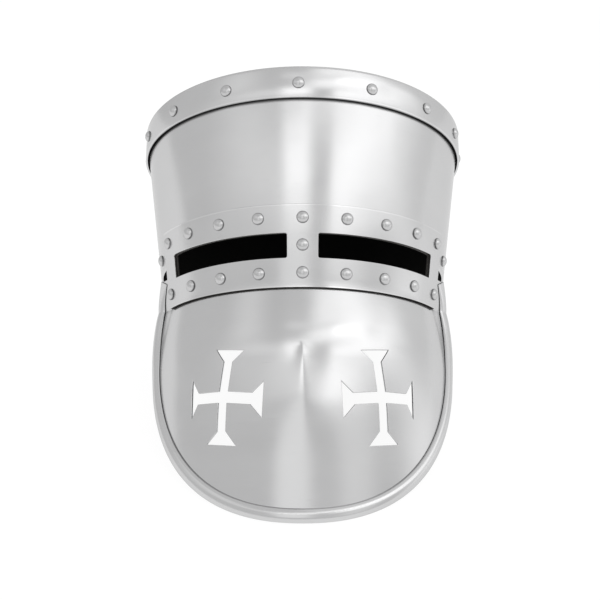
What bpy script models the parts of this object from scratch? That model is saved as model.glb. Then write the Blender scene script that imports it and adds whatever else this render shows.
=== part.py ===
"""A flat-topped great helm with a fixed face plate, made of sheet steel and rivets.

The skull is an open drum, oval in plan and flaring upwards. A flat crown cap with a turned-down
flange closes it. The face plate, with its eye slits and two pierced crosses, hangs from the front
of the skull under a riveted ocular band, and a folded rim binds its side edges and chin.

The pieces are drawn upright, with the face towards -Y and height 0 at the skull's lower edge. The
finished helm lies as it rests by itself, on its chin rim and the back edge of its skull, so it is
parented to an empty that leans it back until both touch the floor.

Sheet pieces are cut flat and then bent onto the skull's oval, as an armourer does. On a flat
blank, X is the arc from the centre line of the face, measured round the skull's lower edge, Y is
the height, and Z is the distance out from the skull's outer surface. Lengths are in metres.
"""

import math

import bmesh
import bpy
import numpy as np
from mathutils import Matrix, Vector
from mathutils.geometry import intersect_line_line_2d

SEAT = 0.0003  # gap between pieces that touch

# Skull: outer half sizes at its lower edge, and the upright lip inside the cap's flange
SKULL_HALF_WIDTH = 0.103
SKULL_HALF_DEPTH = 0.1185
SKULL_WALL = 0.0015
SKULL_LIP = 0.012
BROW_EDGE = 0.0062  # height of the skull's edge where it is cut away behind the eye slits
BROW_CUT_DEPTH = 0.062  # how far forward of the centre the cut-away begins

# Crown cap: outer half sizes, height of its top and depth of its flange
CAP_HALF_WIDTH = 0.1177
CAP_HALF_DEPTH = 0.1297
CAP_TOP = 0.1117
CAP_FLANGE = 0.022
CAP_WALL = 0.0015
CAP_BEND = 0.002

# Ocular band and the eye slits through it and the face plate
BAND_UPPER = 0.0212
BAND_LOWER = -0.0312
BAND_HALF_ARC = 0.1135
BAND_WALL = 0.0015
SLIT_UPPER = 0.0031
SLIT_LOWER = -0.0125
SLIT_INNER_ARC = 0.0094
SLIT_OUTER_ARC = 0.0992
SLIT_CORNER = 0.0012

# Face plate: its edge drops behind the band's ends, widens at a shoulder and rounds to the chin
FACE_WALL = 0.0015
FACE_UPPER = 0.0197
FACE_SHOULDER = -0.0095
SHOULDER_STEP = 0.0113  # how far the shoulder stands outside the band's end
FACE_WIDEST = -0.0295
FACE_WIDENING = 0.0067  # how much further out the widest place is
FACE_CHIN = -0.1700
FACE_SIDE_POWER = 2.24
FACE_CHIN_POWER = 1.41
SIDE_SWELL = 0.0140  # how far the chin stands outside the band's oval
SWELL_CURVE = 2.4
FRONT_SLOPE = 0.21  # how fast the front stands out, from the band down to the break above the keel
FRONT_BREAK = 0.0210
BREAK_LENGTH = 0.0220
EDGE_FLARE = 0.0046  # how far the side edges spread away from the skull
EDGE_FLARE_WIDTH = 0.0295

# Nasal keel: a ridge that fans out below its apex and sinks into the plate
KEEL_APEX = -0.0666
KEEL_RISE = 0.0024
KEEL_GROWTH = 0.018
KEEL_SPREAD = 0.42
KEEL_ROUND = 0.18
KEEL_FULL = 0.030
KEEL_FADE = 0.045

# Rolled rim: a strip folded over the face plate's edge
RIM_WIDTH = 0.0084
RIM_NOSE = 0.0016
RIM_PROUD = 0.0026
RIM_LIP = 0.0012
RIM_TAPER = 0.030  # how far down from the shoulder the rim swells to its full height
RIM_END = 0.3

# Crosses: centre, longest arm, and one row for each arm with its sizes as shares of the longest
CROSS_ARC = 0.0463
CROSS_HEIGHT = -0.0976
CROSS_REACH = 0.0288
CROSS_ARMS = (
    # direction in degrees, reach, bar width, end width, end depth, turn of its end in degrees
    (0.0, 0.785, 0.229, 0.850, 0.180, -4.5),
    (95.0, 0.993, 0.198, 0.656, 0.250, 0.0),
    (186.0, 0.854, 0.236, 0.760, 0.236, -4.7),
    (269.5, 1.000, 0.188, 0.650, 0.281, 5.4),
)

# Rivets: domed head outside, shank through the plates, clenched end inside
RIVET_HEAD_RADIUS = 0.0039
RIVET_HEAD_RISE = 0.0027
RIVET_SHANK_RADIUS = 0.0016
RIVET_CLENCH_RADIUS = 0.0028
RIVET_CLENCH_RISE = 0.0009
CROWN_ROW = 0.0995
CROWN_RIVETS = 16
CROWN_TURN = math.radians(-1.3)
BROW_ROW = 0.0128
CHEEK_ROW = -0.0217
BROW_PITCH = 0.0267
CHEEK_PITCH = 0.0271
BAND_RIVETS = 9
NASAL_HEIGHT = -0.0045
SIDE_RIVET_STEP = 0.0230  # how far behind the band's end the side rivets are
SIDE_RIVET_HEIGHT = 0.0085

# Fineness of the facets
OVAL_SIDES = 60
RIVET_SIDES = 8
CHIN_STEPS = 22
SHOULDER_STEPS = 4
FACE_ROWS = (0.0, 0.15, 0.21, 0.26, 0.30, 0.36, 0.43, 0.52, 0.64, 0.76, 0.88)  # shares of its drop

cap_inner_half_width = CAP_HALF_WIDTH - CAP_WALL
cap_inner_half_depth = CAP_HALF_DEPTH - CAP_WALL
skull_top = CAP_TOP - CAP_WALL - SEAT
lip_start = skull_top - SKULL_LIP
lip_half_width = cap_inner_half_width - SEAT
lip_half_depth = cap_inner_half_depth - SEAT
face_inner = SEAT
face_outer = face_inner + FACE_WALL
band_inner = face_outer + SEAT
band_outer = band_inner + BAND_WALL
face_shoulder_arc = BAND_HALF_ARC + SHOULDER_STEP
face_half_arc = face_shoulder_arc + FACE_WIDENING
side_rivet_arc = BAND_HALF_ARC + SIDE_RIVET_STEP


def oval_point(half_width, half_depth, angle, height):
    """The point at this angle from the front, turning towards +X."""
    return Vector((half_width * math.sin(angle), -half_depth * math.cos(angle), height))


def arc_table(half_width, half_depth):
    """Angles from the front to the back of an oval, and the arc up to each."""
    angles = np.linspace(0, math.pi, 1441)
    middles = (angles[1:] + angles[:-1]) / 2
    speed = np.hypot(half_width * np.cos(middles), half_depth * np.sin(middles))
    return angles, np.concatenate([[0], np.cumsum(speed * np.diff(angles))])


edge_angles, edge_arcs = arc_table(SKULL_HALF_WIDTH, SKULL_HALF_DEPTH)


def angle_at(arc):
    return math.copysign(np.interp(abs(arc), edge_arcs, edge_angles), arc)


def arc_at(angle):
    return math.copysign(np.interp(abs(angle), edge_angles, edge_arcs), angle)


def half_sizes(height):
    """Half width and half depth of the skull's outer surface, carried on below as the face plate."""
    share = max(height, BAND_LOWER) / lip_start
    half_width = SKULL_HALF_WIDTH + (lip_half_width - SKULL_HALF_WIDTH) * share
    half_depth = SKULL_HALF_DEPTH + (lip_half_depth - SKULL_HALF_DEPTH) * share
    drop = min(max((BAND_LOWER - height) / (BAND_LOWER - FACE_CHIN), 0), 1)
    swell = 1 - (1 - drop) ** SWELL_CURVE
    below = min(max(BAND_LOWER - height, 0), FRONT_BREAK + BREAK_LENGTH)
    past = max(below - FRONT_BREAK, 0)
    front = FRONT_SLOPE * (below - past * past / (2 * BREAK_LENGTH))
    return half_width + SIDE_SWELL * swell, half_depth + front


def surface_point(arc, height):
    return oval_point(*half_sizes(height), angle_at(arc), height)


def surface_frame(arc, height, out=0.0):
    """A matrix with X along the arc, Z out of the surface, at a point that far out of it."""
    step = 0.0005
    along = surface_point(arc + step, height) - surface_point(arc - step, height)
    up = surface_point(arc, height + step) - surface_point(arc, height - step)
    normal = along.cross(up).normalized()
    along.normalize()
    frame = Matrix((along, normal.cross(along), normal)).transposed().to_4x4()
    frame.translation = surface_point(arc, height) + normal * out
    return frame


def keel_rise(arc, height):
    """How far the nasal keel lifts the face plate here."""
    below = KEEL_APEX - height
    if below <= 0:
        return 0.0
    left = 1 - min(max((below - KEEL_FULL) / KEEL_FADE, 0), 1)
    crest = KEEL_RISE * (1 - math.exp(-below / KEEL_GROWTH)) * left * left * (3 - 2 * left)
    across = math.hypot(arc / (KEEL_SPREAD * below), KEEL_ROUND) - KEEL_ROUND
    return crest * math.exp(-across)


def edge_flare(arc, height):
    """How far the face plate's side edges and its rim spread here."""
    share = min(max((abs(arc) - BAND_HALF_ARC) / EDGE_FLARE_WIDTH, 0), 1)
    return EDGE_FLARE * share * share * (3 - 2 * share)


def face_rise(arc, height):
    return keel_rise(arc, height) + edge_flare(arc, height)


def collection(name):
    made = bpy.data.collections.new(name)
    bpy.context.scene.collection.children.link(made)
    return made


def steel(name, grey, roughness):
    material = bpy.data.materials.new(name)
    material.use_nodes = True
    shader = material.node_tree.nodes["Principled BSDF"]
    shader.inputs["Base Color"].default_value = (grey, grey, grey, 1)
    shader.inputs["Metallic"].default_value = 1
    shader.inputs["Roughness"].default_value = roughness
    return material


def add_object(name, mesh, group):
    made = bpy.data.objects.new(name, mesh)
    group.objects.link(made)
    return made


def add_cutter(name, mesh):
    cutter = add_object(name, mesh, cutters)
    cutter.hide_render = True
    cutter.display_type = "WIRE"
    cutter.parent = helm
    return cutter


def mesh_from(name, shape):
    mesh = bpy.data.meshes.new(name)
    shape.to_mesh(mesh)
    shape.free()
    return mesh


def boolean(piece, cutter, operation="DIFFERENCE"):
    modifier = piece.modifiers.new(operation.title(), "BOOLEAN")
    modifier.operation = operation
    modifier.object = cutter


def drills(name, frames):
    """One cutter with a drill at each frame, along its Z axis."""
    shape = bmesh.new()
    radius = RIVET_SHANK_RADIUS + SEAT
    for frame in frames:
        bmesh.ops.create_cone(
            shape, cap_ends=True, segments=RIVET_SIDES, radius1=radius, radius2=radius,
            depth=0.016, matrix=frame,
        )
    return add_cutter(name, mesh_from(name, shape))


def prism(name, outlines, depth=0.010):
    """A cutter with the shape of flat outlines, standing out of a flat blank on both sides."""
    curve = bpy.data.curves.new(name, "CURVE")
    curve.dimensions = "2D"
    curve.fill_mode = "BOTH"
    curve.extrude = depth / 2
    for outline in outlines:
        spline = curve.splines.new("POLY")
        spline.points.add(len(outline) - 1)
        for point, (x, y) in zip(spline.points, outline):
            point.co = (x, y, 0, 1)
        spline.use_cyclic_u = True
    return meshed_curve(name, curve, cutters)


def meshed_curve(name, curve, group):
    """The curve as a closed mesh object, with its caps welded on."""
    drawn = add_object(name + "_curve", curve, group)
    bpy.context.view_layer.update()
    mesh = bpy.data.meshes.new_from_object(
        drawn.evaluated_get(bpy.context.evaluated_depsgraph_get())
    )
    bpy.data.objects.remove(drawn)
    shape = bmesh.new()
    shape.from_mesh(mesh)
    bmesh.ops.remove_doubles(shape, verts=shape.verts, dist=1e-6)
    bmesh.ops.recalc_face_normals(shape, faces=shape.faces)
    shape.to_mesh(mesh)
    shape.free()
    made = add_object(name, mesh, group)
    made.hide_render = group == cutters
    made.display_type = "WIRE" if group == cutters else "TEXTURED"
    return made


def columns(last_arc, extra=()):
    """Arcs of a blank's grid lines, at every facet of the oval, up to its last one."""
    step = 2 * math.pi / OVAL_SIDES
    arcs = [arc_at(step * k) for k in range(OVAL_SIDES // 2)]
    arcs = [arc for arc in arcs if arc < last_arc - 0.001]
    half = sorted(arcs[1:] + [arc_at(angle) for angle in extra]) + [last_arc]
    return [-arc for arc in reversed(half)] + [0.0] + half


def blank(name, arcs, heights, inner, wall):
    """A flat sheet with grid lines at these arcs and heights, thick from inner to inner + wall."""
    shape = bmesh.new()
    across, up = len(arcs) - 1, len(heights) - 1
    bmesh.ops.create_grid(shape, x_segments=across, y_segments=up, size=1)
    for corner in shape.verts:
        arc = arcs[round((corner.co.x + 1) / 2 * across)]
        corner.co = (arc, heights[round((corner.co.y + 1) / 2 * up)], inner)
    sheet = add_object(name, mesh_from(name, shape), helm_parts)
    thicken = sheet.modifiers.new("Sheet", "SOLIDIFY")
    thicken.thickness = wall
    thicken.offset = 1
    return sheet


def bend(piece, rise=None):
    """Applies the piece's modifiers and bends it from the flat onto the oval."""
    bpy.context.view_layer.update()
    mesh = bpy.data.meshes.new_from_object(
        piece.evaluated_get(bpy.context.evaluated_depsgraph_get())
    )
    piece.modifiers.clear()
    shape = bmesh.new()
    shape.from_mesh(mesh)
    bmesh.ops.remove_doubles(shape, verts=shape.verts, dist=1e-6)
    bmesh.ops.triangulate(shape, faces=shape.faces)
    for corner in shape.verts:
        arc, height, out = corner.co
        if rise:
            out += rise(arc, height)
        corner.co = surface_frame(arc, height, out).translation
    shape.to_mesh(mesh)
    shape.free()
    piece.data = mesh
    mesh.name = piece.name


def finish(piece, material):
    piece.data.materials.clear()
    piece.data.materials.append(material)
    piece.data.shade_smooth()
    piece.data.set_sharp_from_angle(angle=math.radians(35))
    piece.parent = helm


def open_drum(rings, capped):
    """A stack of oval rings, given as half width, half depth and height from the bottom up."""
    shape = bmesh.new()
    bmesh.ops.create_cone(
        shape, cap_ends=capped, segments=OVAL_SIDES, radius1=1, radius2=1, depth=2
    )
    if capped:
        floor = [face for face in shape.faces if face.normal.z < -0.5]
        bmesh.ops.delete(shape, geom=floor, context="FACES")
    upright = [edge for edge in shape.edges if abs(edge.verts[0].co.z - edge.verts[1].co.z) > 1]
    if len(rings) > 2:
        bmesh.ops.subdivide_edges(shape, edges=upright, cuts=len(rings) - 2, use_grid_fill=True)
    for corner in shape.verts:
        ring = rings[round((corner.co.z + 1) / 2 * (len(rings) - 1))]
        angle = math.atan2(corner.co.x, -corner.co.y)
        corner.co = oval_point(ring[0], ring[1], angle, ring[2])
    return shape


def build_skull():
    rings = (
        (SKULL_HALF_WIDTH, SKULL_HALF_DEPTH, 0.0),
        (lip_half_width, lip_half_depth, lip_start),
        (lip_half_width, lip_half_depth, skull_top),
    )
    skull = add_object("skull", mesh_from("skull", open_drum(rings, False)), helm_parts)
    thicken = skull.modifiers.new("Wall", "SOLIDIFY")
    thicken.thickness = SKULL_WALL
    thicken.offset = -1
    thicken.use_even_offset = True
    notch = bmesh.new()
    bmesh.ops.create_cube(notch, size=1)
    reach = 2 * SKULL_HALF_DEPTH
    for corner in notch.verts:
        corner.co.x *= 2 * reach
        corner.co.y = -BROW_CUT_DEPTH if corner.co.y > 0 else -reach
        corner.co.z = BROW_EDGE if corner.co.z > 0 else -reach
    boolean(skull, add_cutter("brow_notch", mesh_from("brow_notch", notch)))
    frames = [surface_frame(arc, BROW_ROW) for arc in row_arcs(BROW_PITCH)]
    frames += [surface_frame(side * side_rivet_arc, SIDE_RIVET_HEIGHT) for side in (-1, 1)]
    boolean(skull, drills("skull_drills", frames + crown_frames(lip_half_width, lip_half_depth)))
    return skull


def build_crown_cap():
    low = CAP_TOP - CAP_FLANGE
    rings = ((CAP_HALF_WIDTH, CAP_HALF_DEPTH, low), (CAP_HALF_WIDTH, CAP_HALF_DEPTH, CAP_TOP))
    cap = add_object("crown_cap", mesh_from("crown_cap", open_drum(rings, True)), helm_parts)
    fold = cap.modifiers.new("Bend", "BEVEL")
    fold.width = CAP_BEND
    fold.segments = 2
    fold.limit_method = "ANGLE"
    fold.angle_limit = math.radians(60)
    thicken = cap.modifiers.new("Wall", "SOLIDIFY")
    thicken.thickness = CAP_WALL
    thicken.offset = -1
    thicken.use_even_offset = True
    boolean(cap, drills("cap_drills", crown_frames(CAP_HALF_WIDTH, CAP_HALF_DEPTH)))
    return cap


def crown_frames(half_width, half_depth, out=0.0):
    """Frames of the crown rivets on an upright oval, at even arcs round the cap."""
    angles, arcs = arc_table(CAP_HALF_WIDTH, CAP_HALF_DEPTH)
    frames = []
    for index in range(CROWN_RIVETS):
        share = 2 * index / CROWN_RIVETS
        turned = share if share <= 1 else share - 2
        angle = math.copysign(np.interp(abs(turned) * arcs[-1], arcs, angles), turned) + CROWN_TURN
        seat = oval_point(CAP_HALF_WIDTH, CAP_HALF_DEPTH, angle, CROWN_ROW)
        along = Vector((CAP_HALF_WIDTH * math.cos(angle), CAP_HALF_DEPTH * math.sin(angle), 0))
        along.normalize()
        normal = Vector((along.y, -along.x, 0))
        frame = Matrix((along, Vector((0, 0, 1)), normal)).transposed().to_4x4()
        frame.translation = seat + normal * (out - (CAP_HALF_WIDTH - half_width))
        frames.append(frame)
    return frames


def flat_frames(places):
    return [Matrix.Translation((arc, height, 0)) for arc, height in places]


def slit_outlines():
    """The two eye slits, with their corners rounded by short chamfers."""
    outlines = []
    for side in (-1, 1):
        inner, outer = side * SLIT_INNER_ARC, side * SLIT_OUTER_ARC
        cut = side * SLIT_CORNER
        outlines.append([
            (inner, SLIT_LOWER + SLIT_CORNER), (inner + cut, SLIT_LOWER),
            (outer - cut, SLIT_LOWER), (outer, SLIT_LOWER + SLIT_CORNER),
            (outer, SLIT_UPPER - SLIT_CORNER), (outer - cut, SLIT_UPPER),
            (inner + cut, SLIT_UPPER), (inner, SLIT_UPPER - SLIT_CORNER),
        ])
    return outlines


def cross_outline(side):
    """One cross on the blank: four straight arms that splay at their ends."""
    rays = [Vector((math.cos(math.radians(row[0])), math.sin(math.radians(row[0]))))
            for row in CROSS_ARMS]
    lefts = [Vector((-ray.y, ray.x)) for ray in rays]
    points = []
    for index, (_, reach, bar, end_width, end_depth, end_turn) in enumerate(CROSS_ARMS):
        ray, left = rays[index], lefts[index]
        near = -left * bar / 2
        far = lefts[index - 1] * CROSS_ARMS[index - 1][2] / 2
        last = rays[index - 1]
        points.append(intersect_line_line_2d(near - ray, near + ray, far - last, far + last))
        along_end = left.copy()
        along_end.rotate(Matrix.Rotation(math.radians(end_turn), 2))
        neck, end = ray * (reach - end_depth), ray * reach
        points += [neck + near, end - along_end * end_width / 2]
        points += [end + along_end * end_width / 2, neck - near]
    points = [point * CROSS_REACH for point in points]
    return [(side * (CROSS_ARC + point.x), CROSS_HEIGHT + point.y) for point in points]


def face_side():
    """The bound part of the face plate's right edge, from its shoulder to the chin."""
    points = []
    for step in range(SHOULDER_STEPS):
        share = step / SHOULDER_STEPS
        arc = face_shoulder_arc
        arc += (face_half_arc - face_shoulder_arc) * math.sin(share * math.pi / 2)
        points.append((arc, FACE_SHOULDER + (FACE_WIDEST - FACE_SHOULDER) * share))
    for step in range(CHIN_STEPS + 1):
        turn = math.pi / 2 * step / CHIN_STEPS
        arc = face_half_arc * max(math.cos(turn), 0) ** (2 / FACE_SIDE_POWER)
        drop = (FACE_WIDEST - FACE_CHIN) * math.sin(turn) ** (2 / FACE_CHIN_POWER)
        points.append((arc, FACE_WIDEST - drop))
    return points


def face_edge():
    right = face_side()
    return right + [(-arc, height) for arc, height in reversed(right[:-1])]


def build_face_plate():
    span = FACE_CHIN - BAND_LOWER
    heights = [FACE_CHIN - RIM_NOSE, FACE_CHIN + RIM_WIDTH]
    heights += [BAND_LOWER + span * row for row in reversed(FACE_ROWS)]
    arcs = columns(face_half_arc + RIM_NOSE, (math.radians(1.2),))
    plate = blank("face_plate", arcs, heights + [FACE_UPPER + RIM_NOSE], face_inner, FACE_WALL)
    outline = [(BAND_HALF_ARC, FACE_UPPER), (BAND_HALF_ARC, FACE_SHOULDER)] + face_edge()
    outline += [(-BAND_HALF_ARC, FACE_SHOULDER), (-BAND_HALF_ARC, FACE_UPPER)]
    boolean(plate, prism("face_outline", [outline]), "INTERSECT")
    openings = slit_outlines() + [cross_outline(side) for side in (-1, 1)]
    boolean(plate, prism("face_openings", openings))
    boolean(plate, drills("face_drills", flat_frames(band_rivet_places())))
    bend(plate, face_rise)
    return plate


def build_ocular_band():
    band = blank(
        "ocular_band", columns(BAND_HALF_ARC), (BAND_LOWER, BAND_UPPER), band_inner, BAND_WALL
    )
    boolean(band, prism("band_openings", slit_outlines()))
    boolean(band, drills("band_drills", flat_frames(band_rivet_places())))
    bend(band)
    return band


def rim_section():
    """The rim's section: X inwards from the face plate's edge, Y out of the skull's surface."""
    low, high = face_inner - SEAT, face_outer + SEAT
    middle, half = RIM_WIDTH / 2 - RIM_NOSE, RIM_WIDTH / 2
    points = []
    for step in range(6):
        turn = math.pi * step / 5
        points.append((middle + half * math.cos(turn), high + RIM_PROUD * math.sin(turn)))
    inside = middle + half - RIM_LIP
    points += [
        (-RIM_NOSE, low), (-SEAT, low - RIM_LIP), (inside, low - RIM_LIP), (inside, low),
        (-SEAT, low), (-SEAT, high),
    ]
    return points


def build_face_rim():
    section = bpy.data.curves.new("rim_section", "CURVE")
    section.dimensions = "2D"
    outline = section.splines.new("POLY")
    points = rim_section()
    outline.points.add(len(points) - 1)
    for point, (x, y) in zip(outline.points, points):
        point.co = (x, y, 0, 1)
    outline.use_cyclic_u = True
    profile = add_object("rim_section", section, cutters)
    profile.hide_render = True
    path = bpy.data.curves.new("face_rim", "CURVE")
    path.dimensions = "2D"
    route = path.splines.new("POLY")
    edge = face_edge()
    route.points.add(len(edge) - 1)
    for point, (x, y) in zip(route.points, edge):
        point.co = (x, y, 0, 1)
    path.bevel_mode = "OBJECT"
    path.bevel_object = profile
    path.use_fill_caps = True
    rim = meshed_curve("face_rim", path, helm_parts)
    for corner in rim.data.vertices:
        proud = corner.co.z - face_outer - SEAT
        if proud > 0:
            share = min(max((FACE_SHOULDER - corner.co.y) / RIM_TAPER, 0), 1)
            share = RIM_END + (1 - RIM_END) * share * share * (3 - 2 * share)
            corner.co.z = face_outer + SEAT + proud * share
    bend(rim, edge_flare)
    return rim


def row_arcs(pitch):
    return [pitch * (k - (BAND_RIVETS - 1) / 2) for k in range(BAND_RIVETS)]


def band_rivet_places():
    """Arc and height of each rivet through the band: the two rows and the nasal one."""
    brow = [(arc, BROW_ROW) for arc in row_arcs(BROW_PITCH)]
    return brow + [(arc, CHEEK_ROW) for arc in row_arcs(CHEEK_PITCH)] + [(0.0, NASAL_HEIGHT)]


def rivet_mesh(name, grip):
    """The half section of a rivet that grips this much, from its crown down to its clenched end."""
    rise, radius = RIVET_HEAD_RISE, RIVET_HEAD_RADIUS
    under = -grip - 2 * SEAT
    section = (
        (0, rise), (radius * 0.62, rise * 0.78), (radius, 0), (RIVET_SHANK_RADIUS, 0),
        (RIVET_SHANK_RADIUS, under), (RIVET_CLENCH_RADIUS, under), (0, under - RIVET_CLENCH_RISE),
    )
    mesh = bpy.data.meshes.new(name)
    points = [(x, 0, z) for x, z in section]
    mesh.from_pydata(points, [(k, k + 1) for k in range(len(points) - 1)], [])
    return mesh


def add_rivet(name, mesh, frame):
    """A rivet whose head sits one seat gap off the plate at this frame."""
    rivet = add_object(name, mesh, helm_parts)
    turned = rivet.modifiers.new("Turn", "SCREW")
    turned.steps = turned.render_steps = RIVET_SIDES
    turned.use_merge_vertices = True
    turned.merge_threshold = 0.0001
    turned.use_smooth_shade = True
    rivet.matrix_local = frame
    rivet.parent = helm
    return rivet


def build_rivets(material):
    stack = SKULL_WALL + band_outer
    crown = rivet_mesh("crown_rivet", CAP_WALL + SEAT + SKULL_WALL)
    brow = rivet_mesh("brow_rivet", stack)
    cheek = rivet_mesh("cheek_rivet", band_outer - face_inner)
    side = rivet_mesh("side_rivet", SKULL_WALL)
    for mesh in (crown, brow, cheek, side):
        mesh.materials.append(material)
    for index, frame in enumerate(crown_frames(CAP_HALF_WIDTH, CAP_HALF_DEPTH, SEAT)):
        add_rivet(f"crown_rivet_{index + 1:02d}", crown, frame)
    seat = band_outer + SEAT
    for index, arc in enumerate(row_arcs(BROW_PITCH)):
        add_rivet(f"brow_rivet_{index + 1}", brow, surface_frame(arc, BROW_ROW, seat))
    for index, arc in enumerate(row_arcs(CHEEK_PITCH)):
        add_rivet(f"cheek_rivet_{index + 1}", cheek, surface_frame(arc, CHEEK_ROW, seat))
    add_rivet("nasal_rivet", cheek, surface_frame(0.0, NASAL_HEIGHT, seat))
    for name, arc in (("side_rivet_left", -side_rivet_arc), ("side_rivet_right", side_rivet_arc)):
        add_rivet(name, side, surface_frame(arc, SIDE_RIVET_HEIGHT, SEAT))


def corners_of(pieces):
    """The evaluated corners of the pieces, in world space."""
    bpy.context.view_layer.update()
    graph = bpy.context.evaluated_depsgraph_get()
    found = []
    for piece in pieces:
        solid = piece.evaluated_get(graph)
        mesh = solid.to_mesh()
        found += [tuple(solid.matrix_world @ corner.co) for corner in mesh.vertices]
        solid.to_mesh_clear()
    return np.array(found)


def lowest(points, lean):
    """The lowest level that upright points reach once the helm leans back this far."""
    return float((points[:, 2] * math.cos(lean) - points[:, 1] * math.sin(lean)).min())


def resting_lean(chin, back):
    """The lean at which the chin rim and the skull's back edge stand on one level."""
    small, large = 0.0, math.radians(80)
    while large - small > 1e-7:
        lean = (small + large) / 2
        if lowest(chin, lean) < lowest(back, lean):
            small = lean
        else:
            large = lean
    return small


def lay_down():
    """Leans the helm back onto its rim and puts the origin under the middle of its box."""
    lean = resting_lean(corners_of([face_rim]), corners_of([skull]))
    helm.rotation_euler = (-lean, 0, 0)
    corners = corners_of(list(helm_parts.objects))
    low, high = corners.min(axis=0), corners.max(axis=0)
    helm.location = (-(low[0] + high[0]) / 2, -(low[1] + high[1]) / 2, -low[2])
    bpy.context.view_layer.update()


for old in list(bpy.data.objects):
    bpy.data.objects.remove(old)
helm_parts = collection("great_helm")
cutters = collection("cutters")
helm = bpy.data.objects.new("helm_frame", None)
bpy.context.scene.collection.objects.link(helm)

plate_steel = steel("satin_steel", 0.62, 0.30)
rivet_steel = steel("rivet_steel", 0.68, 0.24)
skull = build_skull()
crown_cap = build_crown_cap()
face_plate = build_face_plate()
ocular_band = build_ocular_band()
face_rim = build_face_rim()
for piece in (skull, crown_cap, face_plate, ocular_band, face_rim):
    finish(piece, plate_steel)
build_rivets(rivet_steel)
lay_down()
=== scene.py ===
"""The looks of the great helm: plates, rolled rim and rivets in satin-polished steel.

Each piece is drawn upright, with the face towards -Y and height 0 at the skull's lower edge, and
then laid back the way the finished helm rests on its chin rim and skull. Sheet pieces are cut
flat and bent onto the skull's oval. On a flat blank, X is the arc from the centre line of the
face, Y is the height, and Z is the distance out from the skull's outer surface, all in metres.
"""

import math
import random

import bmesh
import bpy
import numpy as np
from mathutils import Matrix, Vector
from mathutils.geometry import intersect_line_line_2d


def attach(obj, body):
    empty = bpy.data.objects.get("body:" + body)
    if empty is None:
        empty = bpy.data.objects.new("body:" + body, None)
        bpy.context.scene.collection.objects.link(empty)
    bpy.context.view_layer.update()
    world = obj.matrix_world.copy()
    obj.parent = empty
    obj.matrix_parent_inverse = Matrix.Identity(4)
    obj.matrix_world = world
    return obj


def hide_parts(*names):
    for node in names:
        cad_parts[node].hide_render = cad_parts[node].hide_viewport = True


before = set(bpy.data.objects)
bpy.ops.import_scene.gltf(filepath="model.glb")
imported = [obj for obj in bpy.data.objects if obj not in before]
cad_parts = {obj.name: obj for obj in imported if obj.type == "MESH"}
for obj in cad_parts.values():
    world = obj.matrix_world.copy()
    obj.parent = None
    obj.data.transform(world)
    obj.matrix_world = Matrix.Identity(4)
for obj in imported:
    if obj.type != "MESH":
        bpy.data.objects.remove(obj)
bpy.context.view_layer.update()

# How the helm rests: leaned back onto its chin rim and the back edge of its skull
LEAN = math.radians(35.510164)
REST_AT = Vector((0, 0.0160066, 0.0688304))
helm_place = Matrix.Translation(REST_AT) @ Matrix.Rotation(-LEAN, 4, "X")

SEAT = 0.0003

SKULL_HALF_WIDTH = 0.103
SKULL_HALF_DEPTH = 0.1185
SKULL_WALL = 0.0015
SKULL_LIP = 0.012
BROW_EDGE = 0.0062
BROW_CUT_DEPTH = 0.062

CAP_HALF_WIDTH = 0.1177
CAP_HALF_DEPTH = 0.1297
CAP_TOP = 0.1117
CAP_FLANGE = 0.022
CAP_WALL = 0.0015
CAP_BEND = 0.0024

BAND_UPPER = 0.0212
BAND_LOWER = -0.0312
BAND_HALF_ARC = 0.1135
BAND_WALL = 0.0015
SLIT_UPPER = 0.0031
SLIT_LOWER = -0.0125
SLIT_INNER_ARC = 0.0094
SLIT_OUTER_ARC = 0.0992
SLIT_CORNER = 0.0012

FACE_WALL = 0.0015
FACE_UPPER = 0.0197
FACE_SHOULDER = -0.0095
FACE_SHOULDER_ARC = 0.1248
FACE_WIDEST = -0.0295
FACE_HALF_ARC = 0.1315
FACE_CHIN = -0.1700
FACE_SIDE_POWER = 2.24
FACE_CHIN_POWER = 1.41
SIDE_SWELL = 0.0140
SWELL_CURVE = 2.4
FRONT_SLOPE = 0.21
FRONT_BREAK = 0.0210
BREAK_LENGTH = 0.0220
EDGE_FLARE = 0.0046
EDGE_FLARE_WIDTH = 0.0295

KEEL_APEX = -0.0666
KEEL_RISE = 0.0024
KEEL_GROWTH = 0.018
KEEL_SPREAD = 0.42
KEEL_ROUND = 0.18
KEEL_FULL = 0.030
KEEL_FADE = 0.045

RIM_WIDTH = 0.0084
RIM_NOSE = 0.0016
RIM_PROUD = 0.0026
RIM_LIP = 0.0012
RIM_TAPER = 0.030
RIM_END = 0.3

CROSS_ARC = 0.0463
CROSS_HEIGHT = -0.0976
CROSS_REACH = 0.0288
CROSS_ARMS = (
    # direction in degrees, reach, bar width, end width, end depth, turn of its end in degrees
    (0.0, 0.785, 0.229, 0.850, 0.180, -4.5),
    (95.0, 0.993, 0.198, 0.656, 0.250, 0.0),
    (186.0, 0.854, 0.236, 0.760, 0.236, -4.7),
    (269.5, 1.000, 0.188, 0.650, 0.281, 5.4),
)

RIVET_HEAD_RADIUS = 0.0039
RIVET_HEAD_RISE = 0.0027
RIVET_SHANK_RADIUS = 0.0016
RIVET_CLENCH_RADIUS = 0.0028
RIVET_CLENCH_RISE = 0.0009
CROWN_ROW = 0.0995
CROWN_RIVETS = 16
CROWN_TURN = math.radians(-1.3)
BROW_ROW = 0.0128
CHEEK_ROW = -0.0217
BROW_PITCH = 0.0267
CHEEK_PITCH = 0.0271
BAND_RIVETS = 9
NASAL_HEIGHT = -0.0045
SIDE_RIVET_ARC = 0.1365
SIDE_RIVET_HEIGHT = 0.0085

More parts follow.
